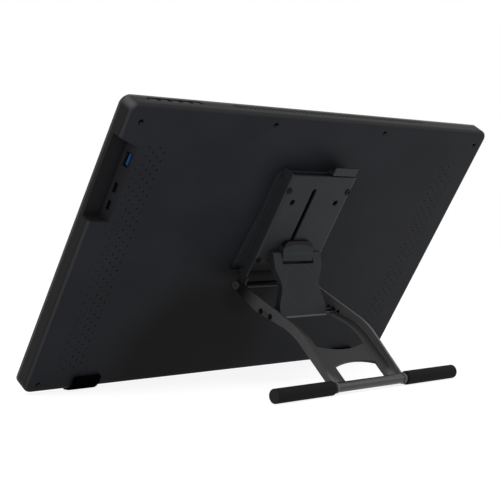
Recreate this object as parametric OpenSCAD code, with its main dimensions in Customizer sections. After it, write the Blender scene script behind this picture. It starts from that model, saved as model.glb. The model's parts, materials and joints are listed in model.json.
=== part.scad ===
// Pen display: a graphics tablet with its own screen, on a folding bar stand.
// Millimetres, +Z up. +X is the side with the sockets, +Y is the side with the stand.
// The screen leans back and faces -Y. Depths are measured backwards from the screen's front plane.

/* [Tablet] */
// Width of the tablet
tablet_w = 490; // [440:1:560]
// Height of the tablet, measured up its own face
tablet_h = 300; // [280:1:340]
// Depth from the glass to the flat of the back
tablet_t = 17; // [16.6:0.2:20]
// Corner radius seen from the front
corner_r = 9; // [8:0.5:14]
// Radius that rounds the side walls into the back
shoulder_r = 4; // [3:0.5:6]
// Wall of the rear cover
wall = 2; // [1.6:0.1:2.4]
// Depth of the front frame that shows at the edge
bezel_t = 2.6; // [2.2:0.1:3]
// Width of the frame's rim around the glass
rim_w = 1.4; // [1:0.1:2.5]

/* [Screen stack] */
// Thickness of the cover glass
glass_t = 1.5; // [1:0.1:1.8]
// Border between the picture area and the tablet's sides
side_border = 6.7; // [6.2:0.1:20]
// Border between the picture area and the tablet's top and bottom edges
end_border = 15.95; // [10:0.05:30]
// Thickness of the display panel
panel_t = 1.6; // [1.2:0.1:1.8]
// Thickness of the backlight
backlight_t = 1.4; // [1:0.1:1.6]
// Thickness of the pen sensor board
sensor_t = 0.6; // [0.4:0.1:0.8]
// Thickness of the shield plate
shield_t = 0.6; // [0.4:0.1:0.8]

/* [Boards and sockets] */
// Thickness of the circuit boards
board_t = 1.4; // [1:0.1:1.6]
// Depth at which the main board starts
board_n = 7.6; // [7.4:0.1:7.8]
// Width of the main board
board_w = 96; // [70:1:120]
// Height of the main board
board_h = 104; // [96:1:130]
// Distance of the socket bay's upper end from the top edge
bay_from_top = 31.7; // [28:0.1:50]
// Length of the socket bay
bay_len = 81.6; // [74:0.1:88]
// How far the bay's upper end slants down towards its wall
bay_slant = 8.3; // [0:0.1:10]
// Depth of the socket bay
bay_deep = 9.4; // [9:0.1:9.6]
// Width of the socket bay at the back face
bay_w = 21.7; // [18:0.1:26]
// Sideways lean of the socket wall over the bay's depth
bay_lean = 3.5; // [2:0.5:10]
// Place of the wide socket along the bay
usb_a_at = 58.8; // [52:0.1:62]
// Place of the upper small socket along the bay
usb_c_upper_at = 30.6; // [29:0.1:38]
// Place of the lower small socket along the bay
usb_c_lower_at = 13.1; // [12:0.1:17]

/* [Keys] */
// Number of keys on the top edge
key_count = 5; // [3:1:6]
// Distance between the keys
key_pitch = 12; // [9.5:0.1:12.5]
// Length of a key
key_len = 8; // [5:0.1:8.4]
// Width of a key
key_wide = 3.2; // [2.4:0.1:3.6]
// Distance from the side of the tablet to the outermost key's centre
key_from_side = 29; // [28:1:60]
// Depth of the keys' centre line
key_n = 5.6; // [5.4:0.1:5.8]
// Depth of the recess round the keys
key_recess = 1.2; // [0.8:0.1:1.4]
// How far a key stands out of its recess's floor
key_proud = 0.6; // [0.4:0.1:1]
// Travel of a key
key_travel = 0.6; // [0.4:0.1:0.8]

/* [Vents] */
// Number of vent slots along the top edge
vent_count = 48; // [20:1:52]
// Distance between the vent slots
vent_pitch = 5.6; // [5:0.1:5.8]
// Length of a vent slot across the edge
vent_len = 5; // [3:0.5:6]
// Width of a vent slot
vent_w = 1.8; // [1:0.1:2.4]
// Diameter of the small holes in the back
perf_d = 1.7; // [1:0.1:2]
// Number of columns in each band of small holes
perf_cols = 5; // [3:1:6]
// Number of rows; a column has a hole in every other one
perf_rows = 55; // [20:1:56]
// Distance between the columns
perf_dx = 5.85; // [4:0.05:6]
// Distance between the rows
perf_dv = 4.335; // [3.5:0.005:4.4]
// Number of rows by which the outermost column stops short of the others
perf_short = 4; // [0:1:8]
// Distance from the side of the tablet to a band's middle column
perf_from_side = 40.3; // [36:0.1:60]
// Height of a band's lowest hole above the bottom edge
perf_v = 26.5; // [24:0.5:30]

/* [Feet and screws] */
// Length of a rubber foot along the bottom edge
foot_w = 29; // [20:1:50]
// Distance from the tablet's side to a foot's middle
foot_from_side = 66; // [50:1:110]
// Height of the middle of the foot's round above the bottom edge
foot_mid = 8.6; // [8:0.1:11]
// Depth of that middle below the tablet's back
foot_in = 11; // [10:0.5:12]
// Thickness of the foot over the tablet's back
foot_t = 3.6; // [2.5:0.1:5]
// How far a foot's tab reaches up the back
foot_tab = 6.4; // [3:0.1:10]
// Depth of the flat that the foot rests on
foot_flat = 0.4; // [0.2:0.1:0.6]
// Diameter of the screw wells in the rear cover
well_d = 5.2; // [4.4:0.1:6]
// Distance from the tablet's sides to the corner screws
screw_side = 15.2; // [15:0.1:20]
// Distance from the tablet's sides to the lower screws
screw_low_side = 13; // [12:0.5:16]
// Distance from the tablet's middle to the upper middle screws
screw_mid = 76; // [60:1:100]
// Distance from the top edge to the upper corner screws
screw_top = 16.3; // [14:0.1:18]
// Distance from the top edge to the upper middle screws
screw_mid_top = 10; // [9:0.5:16]
// Distance from the bottom edge to the lower screws
screw_low = 10; // [9:0.5:16]

/* [Stand bracket] */
// Thickness of the bracket plate on the tablet's back
plate_t = 2.5; // [2:0.1:2.6]
// Width of the bracket plate
plate_w = 98; // [96:1:100]
// Width of the bracket plate at its lower end
plate_low_w = 112; // [104:1:124]
// Height of the bracket plate's upper end above the tablet's bottom edge
plate_top = 243.7; // [243:0.1:246]
// Corner radius of the bracket plate
plate_r = 8; // [3:0.5:10]
// Height of the bracket's side rims above the tablet's back
rim_rise = 6.8; // [5:0.1:9]
// Height up to which the bracket plate's flared part reaches
flare_top = 205; // [180:1:225]
// Height of the tray's top end above the tablet's bottom edge
tray_top = 248; // [246:1:262]
// Height of the lower end of the tray's face
tray_low = 150; // [146:1:152]
// Height of the lower end of the bracket plate
plate_low = 131; // [129:1:134]
// Width of the tray
tray_w = 89; // [84:0.5:90]
// Height of the tray's face above the tablet's back
tray_d = 17.1; // [17:0.1:18]
// Sheet thickness of the tray
tray_t = 2; // [1.6:0.1:2.4]
// Outside radius of the tray's folds
fold_r = 2.6; // [2.5:0.1:4]
// Diameter of the two open holes beside the slot
hole_d = 6.4; // [4:0.1:7]
// Sideways place of the slot in the tray
slot_x = 7; // [4:0.5:8]
// Width of the slot
slot_w = 5.6; // [4.6:0.1:6]
// Upper end of the slot
slot_top = 234; // [233:0.5:238]
// Lower end of the slot
slot_low = 154; // [152:0.5:155]

/* [Stand linkage] */
// Height of the hinge above the tablet's bottom edge
hinge_v = 120.4; // [118:0.2:122]
// Height of the hinge above the tablet's back
hinge_rise = 11.7; // [11.4:0.1:12]
// Diameter of the hinge rod
hinge_d = 6; // [5:0.2:7]
// Distance from the hinge to the foot bar
bar_reach = 155.2; // [150:0.2:162]
// Angle between the tablet's back and the line from hinge to bar
bar_angle = 91.7; // [88:0.1:94]
// Distance from the hinge to the strut's lower pin
pin_reach = 48; // [47:0.2:49]
// Length of the strut between its pins
strut_len = 56; // [55:0.2:57]
// Height of the strut's upper pin above the hinge line
pin_rise = 10.8; // [10.7:0.1:11.2]
// Clearance under the strut's lower end when the stand is folded
fold_clear = 0.6; // [0.5:0.1:1.5]

/* [Base frame] */
// Sheet thickness of the base frame
frame_t = 2.5; // [2:0.1:3]
// Clear width between the frame's side flanges
frame_in = 93; // [92:0.5:95]
// Upward slope of the frame's upper leg against the hinge to bar line
leg_up = 14; // [13:0.5:15]
// Downward slope of its lower leg
leg_down = 10; // [9:0.5:11]
// Distance from the hinge to the frame's bend
bend_at = 88; // [86:1:90]
// Radius of the bend
bend_r = 70; // [50:1:90]
// Height of the web above the hinge to bar line at the bend
bend_rise = 6.5; // [6:0.1:7]
// Height of the side flanges at the bend
flange_h = 9.6; // [9:0.1:12.5]
// Height of the side flanges at the bar
flange_low_h = 6.6; // [6:0.1:9]
// Distance from the hinge to the web's upper edge
web_from = 34; // [28:1:36]
// Radius of the large window's arched far end
window_arch = 95; // [80:1:140]
// Radius of the small window's arched near end
small_arch = 90; // [70:1:140]
// Half width of the large window
window_half = 34.6; // [34:0.1:37]
// Near end of the large window
window_from = 42.5; // [41:0.5:43]
// Far end of the large window
window_to = 112.3; // [109:0.1:114]
// Sideways shift of the large window
window_x = -1.2; // [-1.2:0.1:1.2]
// Half width of the small window
small_half = 29; // [22:0.5:34]
// Sideways shift of the small window
small_x = -2.2; // [-4:0.1:4]
// Near end of the small window
small_from = 126.3; // [123:0.1:130]

/* [Foot bar] */
// Outside diameter of the cross tube
tube_d = 9.4; // [8:0.1:10.4]
// Wall of the cross tube
tube_wall = 1.4; // [1:0.1:2]
// Outside diameter of the rubber grips
grip_d = 13.3; // [12:0.1:16]
// Half length of the foot bar
bar_half = 125.3; // [110:0.5:150]
// Distance from the middle to a grip's inner end
grip_in = 51.7; // [51.6:0.1:56]
// Thickness of a grip's closed end
grip_end = 2; // [1.5:0.1:3]

/* [Strut and slider] */
// Sheet thickness of the strut
strut_t = 1.8; // [1.5:0.1:2]
// Outside radius of the strut's rolled ends
roll_r = 3.4; // [3.2:0.1:3.5]
// Half width of the strut at its upper end
strut_top_half = 33; // [31:0.5:33.4]
// Half width of the strut at its waist
strut_waist_half = 26; // [24:0.5:29]
// Half width of the strut at its lower end
strut_low_half = 32; // [30:0.5:33.4]
// Distance from the lower pin to the waist
waist_at = 25; // [22:1:28]
// How far the strut's side flanges reach below the pins' line
flange_drop = 2.6; // [2:0.1:2.8]
// Length of the strut's lip past its lower pin
lip_len = 5.5; // [4:0.1:5.5]
// Diameter of the strut's pins
pin_d = 3.6; // [3:0.1:4]
// Half width of the notch for the slider
notch_half = 21.6; // [20:0.2:24]
// Depth of the notch below the upper pin
notch_deep = 9.5; // [8.5:0.1:10]
// Height of the slider above the upper pin
slider_up = 14; // [12:0.5:15]
// Length of the slider's skirt below the upper pin
skirt_len = 3; // [2:0.1:3.4]
// Radius of the slider's knuckle
knuckle_r = 5; // [4.6:0.1:5.1]

/* [Release lever] */
// Width of the lever's thumb tab
lever_w = 32; // [20:1:33]
// How far the tab stands out past the tray
lever_out = 10; // [7:0.5:14]
// Sheet thickness of the lever
lever_t = 1.6; // [1.2:0.1:2]
// Distance from the lever's pin to the finger that presses the lock bar
lever_arm = 16; // [13:0.5:18]
// Angle that the lever turns through
lever_turn = 4; // [2.5:0.1:4.2]
// Distance between the teeth of the lock bar
tooth_pitch = 4; // [3:0.5:6]
// Height of a tooth
tooth_h = 1.2; // [0.8:0.1:1.3]

/* [Hidden] */
$fn = 40;

// Running fit on the radius, clearance between parts that pass, and overlap for clean cuts
fit = 0.05;
gap = 0.3;
cut = 1;

screen_w = tablet_w - 2 * side_border;
screen_h = tablet_h - 2 * end_border;
foot_x = tablet_w / 2 - foot_from_side;

// Depths of the layers behind the glass
panel_n = glass_t;
backlight_n = panel_n + panel_t;
sensor_n = backlight_n + backlight_t;
shield_n = sensor_n + sensor_t;
shield_end = shield_n + shield_t;
cover_in = tablet_t - wall;
bay_floor = tablet_t - bay_deep;
seat_w = 2;

// Foot: a round of rubber about a point inside the tablet's lower edge
foot_c = [foot_mid, tablet_t - foot_in];
foot_r = foot_in + foot_t;

// Foot bar and hinge in the tablet's own axes: height up the face, depth
hinge_c = [hinge_v, tablet_t + hinge_rise];
bar_c = hinge_c + bar_reach * [cos(bar_angle), sin(bar_angle)];
grip_r = grip_d / 2;

// Lean at which feet and bar both stand on the ground
foot_drop = foot_r - foot_flat;
stance = norm(bar_c - foot_c);
tilt = atan2(bar_c[1] - foot_c[1], bar_c[0] - foot_c[0]) + asin((grip_r - foot_drop) / stance);
lift = foot_drop - foot_c[0] * sin(tilt) + foot_c[1] * cos(tilt);
bar_y = bar_c[0] * cos(tilt) + bar_c[1] * sin(tilt);
shift_y = -(bar_y + grip_r) / 2;

// Linkage at the stand angle drawn, and its travel to the folded end
strut_lean = asin((pin_reach - pin_rise) / strut_len);
upper_v = hinge_v + strut_len * cos(strut_lean);
fold_pin = tray_d + roll_r + fold_clear - hinge_rise;
fold_end = asin(fold_pin / pin_reach);
fold = 90 - fold_end;
strut_lean_end = asin((fold_pin - pin_rise) / strut_len);
slide_end = pin_reach * cos(fold_end) + strut_len * cos(strut_lean_end);
slide_travel = hinge_v + slide_end - upper_v;
// A constant ratio lifts the slider by up to this much half way through the fold
half_lift = pin_reach * sin(90 - fold / 2) - pin_rise
    - strut_len * sin((strut_lean + strut_lean_end) / 2);

tube_r = tube_d / 2;
pin_r = pin_d / 2;
tray_half = tray_w / 2;
tray_in_half = tray_half - tray_t;
lug_r = tray_d - hinge_rise;
frame_in_half = frame_in / 2;
frame_half = frame_in_half + frame_t;
guide_t = 2;
guide_top = tray_d - tray_t - half_lift - gap;
stem_w = slot_w - 1;
guide_half = 8;

// Teeth of the lock bar: how far they stand in the guide's grooves, and a pitch that brings
// the folded end onto a tooth as well
tooth_bite = 0.8;
pitch = slide_travel / round(slide_travel / tooth_pitch);

// Release lever: its pin, the place of its finger and how far that moves the lock bar
finger_v = plate_top - 8;
lever_v = finger_v - lever_arm;
lever_rise = 10.2;
lever_pin_r = 1.5;
lever_right = -tray_in_half + 2;
lever_left = lever_right + lever_w;
finger_gap = 0.45;
bar_travel = lever_arm * sin(lever_turn);
bar_top = guide_top - guide_t + tooth_bite;
bar_plate_top = bar_top - tooth_h;
bar_low = plate_t + bar_travel + gap;
first_tooth = upper_v - 2 - floor((upper_v - 4 - slot_low) / pitch) * pitch;
tooth_rows = floor((finger_v - 5 - first_tooth) / pitch) + 1;

// Sockets stand on the back of the main board
usb_a_h = 5.6;
usb_c_h = 3.3;
function socket_n(h) = board_n + board_t + 0.1 + h / 2;
key_x0 = tablet_w / 2 - key_from_side;
board_x0 = tablet_w / 2 - bay_w + bay_lean / 2 - 1 - board_w;
bay_v = tablet_h - bay_from_top - bay_len;
board_v0 = bay_v - 14;
boss_r = 3;
tray_screw_x = tray_in_half - 6.5;
tray_screw_v = [tray_low + 6, plate_top - 5.7];
rim_wide = 1.7;
flare = [[plate_low_w / 2 - 3, plate_low + 1], [plate_low_w / 2, plate_low + 4], [plate_w / 2, flare_top]];
fold_screw_x = tray_half - 3.4;
fold_screw_v = [tray_low + 3, tray_top - 16.6];

charcoal = "#26282b";
black = "#141415";
steel = "#4a4c4d";
bright_steel = "#8d8f90";
rubber = "#1b1b1b";
sheet_grey = "#393b3d";
board_green = "#1f3d2a";

// Stand the tablet and what is fixed to it on its feet
module on_slab() translate([0, shift_y, lift]) rotate([tilt, 0, 0]) children();

// A flat layer that starts n behind the front plane and is t thick
module layer(n, t) translate([0, 0, -n - t]) linear_extrude(t) children();

// A flat layer that starts d above the tablet's back
module back_layer(d, t) layer(tablet_t + d, t) children();

// A section drawn as [height up the face, height above the back], run along X from x0 to x1
module run_x(x0, x1) translate([x0, 0, -tablet_t]) mirror([0, 0, 1])
    rotate([90, 0, 90]) linear_extrude(x1 - x0) children();

// A section drawn as [across, height above the back], run up the back from v0 to v1
module run_v(v0, v1) translate([0, v0, -tablet_t]) rotate([-90, 0, 0]) linear_extrude(v1 - v0) children();

// A cylinder along X at height v and rise d above the tablet's back
module rod_x(v, d, r, x0, x1) translate([x0, v, -tablet_t - d])
    rotate([0, 90, 0]) cylinder(h = x1 - x0, r = r);

// Rounded rectangle, centred in X, standing on Y = 0
module plan(w, h, r, inset = 0) {
    rr = max(r - inset, 0.2);
    hw = w / 2 - inset;
    translate([-hw + rr, inset]) square([2 * (hw - rr), h - 2 * inset]);
    translate([-hw, inset + rr]) square([2 * hw, h - 2 * inset - 2 * rr]);
    for (x = [-hw + rr, hw - rr], y = [inset + rr, h - inset - rr])
        translate([x, y]) circle(rr);
}

module quarter(r) intersection() {
    circle(r);
    square(r + cut);
}

// Block d deep with rounded corners and its far edges rounded over by s
module dome(w, h, d, r, s) {
    linear_extrude(d - s) plan(w, h, r);
    translate([0, 0, d - s]) {
        linear_extrude(s) plan(w, h, r, s);
        for (m = [0, 1]) {
            translate([0, m * h, 0]) mirror([0, m, 0]) translate([-(w / 2 - r), s, 0])
                rotate([90, 0, 90]) linear_extrude(w - 2 * r) mirror([1, 0]) quarter(s);
            mirror([m, 0, 0]) translate([w / 2 - s, h - r, 0])
                rotate([90, 0, 0]) linear_extrude(h - 2 * r) quarter(s);
        }
        for (q = [[1, h - r, 0], [-1, h - r, 90], [-1, r, 180], [1, r, 270]])
            translate([q[0] * (w / 2 - r), q[1], 0]) rotate(q[2]) rotate_extrude(angle = 90) {
                square([r - s, s]);
                translate([r - s, 0]) quarter(s);
            }
    }
}

// Cover glass, flush in the front frame
module cover_glass() color("#0b0c0d") on_slab()
    layer(0, glass_t) plan(tablet_w, tablet_h, corner_r, rim_w + 0.1);

// Front frame: rim round the glass, seat behind it and skirt inside the rear cover
module front_frame() color(black) on_slab() difference() {
    union() {
        layer(0, bezel_t) plan(tablet_w, tablet_h, corner_r);
        layer(0, shield_n) plan(tablet_w, tablet_h, corner_r, wall + 0.1);
    }
    layer(-cut, glass_t + cut) plan(tablet_w, tablet_h, corner_r, rim_w);
    layer(0, tablet_t) plan(tablet_w, tablet_h, corner_r, rim_w + seat_w + 0.5);
    layer(bezel_t, shield_end) translate([key_x0 - (key_count - 0.5) * key_pitch - 4, tablet_h - 10])
        square([key_count * key_pitch + 8, 20]);
}

// A panel layer centred behind the glass
module screen_layer(n, t, margin) layer(n, t)
    translate([-screen_w / 2 - margin, (tablet_h - screen_h) / 2 - margin])
    square([screen_w + 2 * margin, screen_h + 2 * margin]);

module lcd_panel() color("#101418") on_slab() screen_layer(panel_n, panel_t, 1.2);

module backlight() color("#d7d9dc") on_slab() screen_layer(backlight_n, backlight_t, 1.2);

module sensor_board() color(board_green) on_slab() screen_layer(sensor_n, sensor_t, 0.6);

// Shield plate, pressed against the back of the sensor board, with two cooling slots
module shield_plate() color("#9da1a5") on_slab() difference() {
    layer(shield_n, shield_t) plan(tablet_w, tablet_h, corner_r, wall + 5.5);
    for (p = wells()) translate([p[0], p[1], -shield_end - cut])
        cylinder(h = shield_t + 2 * cut, r = 1.2 + fit, $fn = 20);
    for (x = [-1, 1]) layer(shield_n - cut, shield_t + 2 * cut)
        translate([x * tablet_w / 5 - 20, 30]) square([40, 6]);
}

// Where the bosses of the main board stand
function board_bosses() = [for (x = [6, board_w - 8], v = [6, board_h - 6])
    [board_x0 + x, board_v0 + v]];

// Main board, carried on bosses of the rear cover, with its larger chips
module main_board() color(board_green) on_slab() {
    difference() {
        layer(board_n, board_t) translate([board_x0, board_v0]) square([board_w, board_h]);
        for (b = board_bosses()) translate([b[0], b[1], -board_n - board_t - cut])
            cylinder(h = board_t + 2 * cut, r = 1.2, $fn = 20);
    }
    for (c = [[0.23, 0.38, 0.19], [0.52, 0.6, 0.13], [0.25, 0.73, 0.1]])
        layer(board_n + board_t, 1.6) translate([board_x0 + c[0] * board_w, board_v0 + c[1] * board_h])
        square(c[2] * board_h);
}

// Screws that hold the main board to its bosses
module board_screws() color(bright_steel) on_slab() for (b = board_bosses())
    translate([b[0], b[1], -board_n]) {
        cylinder(h = 1.5, r = 2.2, $fn = 24);
        translate([0, 0, -board_t - 4]) cylinder(h = board_t + 4, r = 1, $fn = 20);
    }

// Key board along the top edge, just behind the keys
key_end = tablet_h - key_recess + key_proud - wall - key_recess - 1.6;
key_board_v = key_end - key_travel - 0.1;
module key_board() color(board_green) on_slab()
    layer(key_n - key_wide / 2, key_wide + 2.4)
    translate([key_x0 - (key_count - 0.5) * key_pitch, key_board_v - board_t])
    square([key_count * key_pitch, board_t]);

// Flat cable from the key board down to the main board
module key_cable() color("#c9c4b4") on_slab() {
    cable_w = 8;
    lap = board_h / 17;
    layer(board_n + board_t, 0.3) translate([key_x0 - 2 * key_pitch, board_v0 + board_h - lap])
        square([cable_w, key_board_v - board_t - board_v0 - board_h + lap]);
}

// Flat cable from the main board to the display panel
module panel_cable() color("#c9c4b4") on_slab() {
    layer(shield_end, board_n - shield_end) translate([board_x0 + 30, board_v0 + 20]) square([24, 3]);
}

// Sideways offset of the leaning socket wall at depth n
function wall_x(n) = tablet_w / 2 - bay_w + bay_lean * (tablet_t - n) / bay_deep;

// Where the mouth of a socket of height h lies, just inside the wall
function mouth_x(h) = wall_x(socket_n(h) + h / 2) - 0.1;

// Sizes of the sockets: place along the bay, width, height, depth and sheet thickness
usb_a = [usb_a_at, 13.2, usb_a_h, 13, 0.5];
usb_c_upper = [usb_c_upper_at, 9, usb_c_h, 8, 0.4];
usb_c_lower = [usb_c_lower_at, 9, usb_c_h, 8, 0.4];

// A socket's shell, open towards +X
module socket_shell(s) color(bright_steel) on_slab()
    translate([mouth_x(s[2]) - s[3], bay_v + s[0], -socket_n(s[2])]) difference() {
        translate([0, -s[1] / 2, -s[2] / 2]) cube([s[3], s[1], s[2]]);
        translate([2, -s[1] / 2 + s[4], -s[2] / 2 + s[4]]) cube([s[3], s[1] - 2 * s[4], s[2] - 2 * s[4]]);
    }

// The contact tongue of a socket, t thick, fixed to the back of its shell
module socket_tongue(s, t) on_slab()
    translate([mouth_x(s[2]) - s[3] + 2, bay_v + s[0] - s[1] / 2 + 1.3, -socket_n(s[2]) - t / 2])
    cube([s[3] - 2.8, s[1] - 2.6, t]);

module usb_a_socket() socket_shell(usb_a);

module usb_c_socket_upper() socket_shell(usb_c_upper);

module usb_c_socket_lower() socket_shell(usb_c_lower);

module usb_a_tongue() color("#1f6fb4") socket_tongue(usb_a, 2.4);

module usb_c_tongues() color(black) {
    socket_tongue(usb_c_upper, 0.7);
    socket_tongue(usb_c_lower, 0.7);
}

// The bay's hollow, or with grow above zero the walls round it: a trough open to the side and
// back, with a slanting upper end
module bay(grow) {
    x0 = tablet_w / 2 - bay_w - grow;
    x1 = tablet_w / 2 + cut;
    deep = bay_floor - grow;
    intersection() {
        run_v(bay_v - grow, bay_v + bay_len + grow) translate([0, -tablet_t]) polygon([
            [x0, tablet_t + cut], [x0, tablet_t], [x0 + bay_lean, deep], [x1, deep], [x1, tablet_t + cut]]);
        layer(0, tablet_t + 2 * cut) polygon([[x0 - cut, bay_v - grow], [x1, bay_v - grow],
            [x1, bay_v + bay_len + grow], [x0 - cut, bay_v + bay_len - bay_slant + grow]]);
    }
}

// Places of the screw wells in the rear cover
function wells() = [for (x = [-1, 1]) each [
    [x * (tablet_w / 2 - screw_side), tablet_h - screw_top],
    [x * screw_mid, tablet_h - screw_mid_top],
    [x * (tablet_w / 2 - screw_low_side), screw_low]]];

// Slanted vent slots through the top wall
module vents() for (i = [0 : vent_count - 1])
    translate([(i - (vent_count - 1) / 2) * vent_pitch - 9, tablet_h + cut, -key_n])
    rotate([90, 0, 0]) linear_extrude(wall + 2 * cut)
    polygon([[-vent_w / 2 - 1, -vent_len / 2], [vent_w / 2 - 1, -vent_len / 2],
        [vent_w / 2 + 1, vent_len / 2], [-vent_w / 2 + 1, vent_len / 2]]);

// Two bands of small holes, every other column set a row lower
module perforations() for (side = [-1, 1], c = [0 : perf_cols - 1], r = [0 : perf_rows - 1])
    if ((c + r) % 2 == 1 && (c < perf_cols - 1 || r < perf_rows - perf_short))
        translate([side * (tablet_w / 2 - perf_from_side + (c - (perf_cols - 1) / 2) * perf_dx),
            perf_v + r * perf_dv, -tablet_t - cut])
        cylinder(h = wall + 2 * cut, d = perf_d, $fn = 6);

// Recess round the keys and the holes that the keys stand in
module key_row(reach, grow, h, tall) for (i = [0 : key_count - 1])
    translate([key_x0 - i * key_pitch, reach, -key_n]) rotate([-90, 0, 0])
    linear_extrude(tall) stadium(key_len + 2 * grow, h + 2 * grow);

module stadium(l, w) {
    square([l - w, w], center = true);
    for (x = [-1, 1]) translate([x * (l - w) / 2, 0]) circle(d = w, $fn = 24);
}

module rear_cover() color(charcoal) on_slab() difference() {
    union() {
        difference() {
            translate([0, 0, -bezel_t]) mirror([0, 0, 1])
                dome(tablet_w, tablet_h, tablet_t - bezel_t, corner_r, shoulder_r);
            translate([0, wall, -bezel_t + cut]) mirror([0, 0, 1])
                dome(tablet_w - 2 * wall, tablet_h - 2 * wall, cover_in - bezel_t + cut,
                    corner_r - wall, shoulder_r - wall);
        }
        intersection() {
            bay(1.4);
            translate([0, 0, -bezel_t]) mirror([0, 0, 1])
                dome(tablet_w, tablet_h, tablet_t - bezel_t, corner_r, shoulder_r);
        }
        for (b = board_bosses()) translate([b[0], b[1], -cover_in - 0.5])
            cylinder(h = cover_in + 0.5 - board_n - board_t, r = boss_r, $fn = 24);
        for (p = wells()) translate([p[0], p[1], -cover_in - 0.5])
            cylinder(h = cover_in + 0.5 - shield_end, r = well_d / 2 + 1.4, $fn = 32);
        for (x = [-1, 1], v = tray_screw_v) translate([x * tray_screw_x, v, -cover_in - 0.5])
            cylinder(h = cover_in + 0.5 - shield_end, r = 5, $fn = 32);
        for (i = [-0.4, key_count - 0.8]) translate([key_x0 - i * key_pitch, key_board_v - board_t - 0.6,
            -cover_in - 0.5]) cube([2, board_t + 1.2, cover_in + 0.5 - key_n - key_wide / 2 - 2.4]);
        translate([0, tablet_h - wall - key_recess - 1.4, -key_n]) rotate([-90, 0, 0])
            linear_extrude(key_recess + 1.4 + cut / 2)
            translate([key_x0 - (key_count - 1) * key_pitch / 2, 0])
            square([key_count * key_pitch + 5, key_wide + 2.4], center = true);
    }
    bay(0);
    for (p = wells()) {
        translate([p[0], p[1], -tablet_t - cut]) cylinder(h = cut + 6, d = well_d);
        translate([p[0], p[1], -tablet_t - cut]) cylinder(h = tablet_t, d = 2.5, $fn = 20);
    }
    for (b = board_bosses()) translate([b[0], b[1], -cover_in])
        cylinder(h = cover_in, r = 1.02, $fn = 20);
    for (x = [-1, 1], v = tray_screw_v) translate([x * tray_screw_x, v, -tablet_t - cut])
        cylinder(h = tablet_t, r = 2 + fit, $fn = 32);
    translate([0, tablet_h - key_recess, -key_n]) rotate([-90, 0, 0])
        linear_extrude(key_recess + cut) translate([key_x0 - (key_count - 1) * key_pitch / 2, 0])
        stadium(key_count * key_pitch + 1.5, key_wide + 1.4);
    key_row(tablet_h - wall - key_recess - 2, 0.25, key_wide, wall + key_recess + 2 + cut);
    vents();
    perforations();
    for (s = [usb_a, usb_c_upper, usb_c_lower])
        translate([mouth_x(s[2]) - 4, bay_v + s[0] - s[1] / 2 - 0.1,
            -socket_n(s[2]) - s[2] / 2 - 0.1]) cube([20, s[1] + 0.2, s[2] + 0.2]);
}

// Housing screws at the bottom of their wells
module housing_screws() color(bright_steel) on_slab() for (p = wells())
    translate([p[0], p[1], -tablet_t + 2.6]) {
        difference() {
            cylinder(h = 3.4, d = well_d - 0.6, $fn = 32);
            translate([0, 0, -cut]) cylinder(h = cut + 1, d = 2, $fn = 6);
        }
        translate([0, 0, 3.4]) cylinder(h = tablet_t - 2.6 - 3.4 - shield_n - 0.1, r = 1.2, $fn = 20);
    }

// Rubber foot wrapped round the bottom edge, with a flat for the ground
module foot(x) color(rubber) difference() {
    on_slab() difference() {
        run_x(x - foot_w / 2, x + foot_w / 2) {
            intersection() {
                translate([foot_c[0], -foot_in]) circle(foot_r, $fn = 72);
                translate([foot_c[0] - foot_r, -foot_in - 2]) square([foot_r, foot_r + 2]);
            }
            translate([foot_c[0] - 1, 0]) square([foot_tab + 1, foot_t]);
        }
        run_x(x - foot_w, x + foot_w) {
            translate([shoulder_r, -shoulder_r]) circle(shoulder_r, $fn = 72);
            translate([0, -tablet_t]) square([tablet_h, tablet_t - shoulder_r]);
            translate([shoulder_r, -tablet_t]) square([tablet_h, tablet_t]);
        }
    }
    translate([x - foot_w, -tablet_h, -tablet_t]) cube([2 * foot_w, 2 * tablet_h, tablet_t]);
}

module foot_left() foot(foot_x);

module foot_right() foot(-foot_x);

// Bracket plate screwed to the tablet's back: flared towards its lower end, with a rim along each
// side of the tray
module bracket_plate() color(sheet_grey) on_slab() difference() {
    union() {
        back_layer(0, plate_t) translate([0, plate_low]) plan(plate_w, plate_top - plate_low, plate_r);
        back_layer(0, plate_t) polygon([for (m = [1, -1]) for (p = m > 0 ? flare : flipped(flare)) [m * p[0], p[1]]]);
        for (m = [0, 1]) mirror([m, 0, 0]) run_x(tray_half, tray_half + rim_wide)
            translate([plate_low + 6, 0]) square([plate_top - plate_r / 2 - plate_low - 6, rim_rise]);
    }
    for (x = [-1, 1], v = tray_screw_v) translate([x * tray_screw_x, v, -tablet_t - plate_t - cut])
        cylinder(h = plate_t + 2 * cut, r = 2 + fit, $fn = 32);
    translate([lever_left - 7.5, finger_v - 5, -tablet_t - plate_t - cut])
        cube([7, 10, plate_t + 2 * cut]);
}

// Screws that hold the bracket plate to the tablet
module tray_screws() color(bright_steel) on_slab() for (x = [-1, 1], v = tray_screw_v)
    translate([x * tray_screw_x, v, -tablet_t - plate_t]) {
        cylinder(h = plate_t + 9, r = 2, $fn = 32);
        translate([0, 0, -2.2]) cylinder(h = 2.2, r = 3.6, $fn = 32);
    }

// Section of the tray up to a half width and a height, with rounded folds
module channel(half, high, r) {
    translate([-half, plate_t]) square([2 * half, high - plate_t - r]);
    translate([-half + r, plate_t]) square([2 * (half - r), high - plate_t]);
    for (x = [-1, 1]) translate([x * (half - r), high - r]) circle(r);
}

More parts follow.
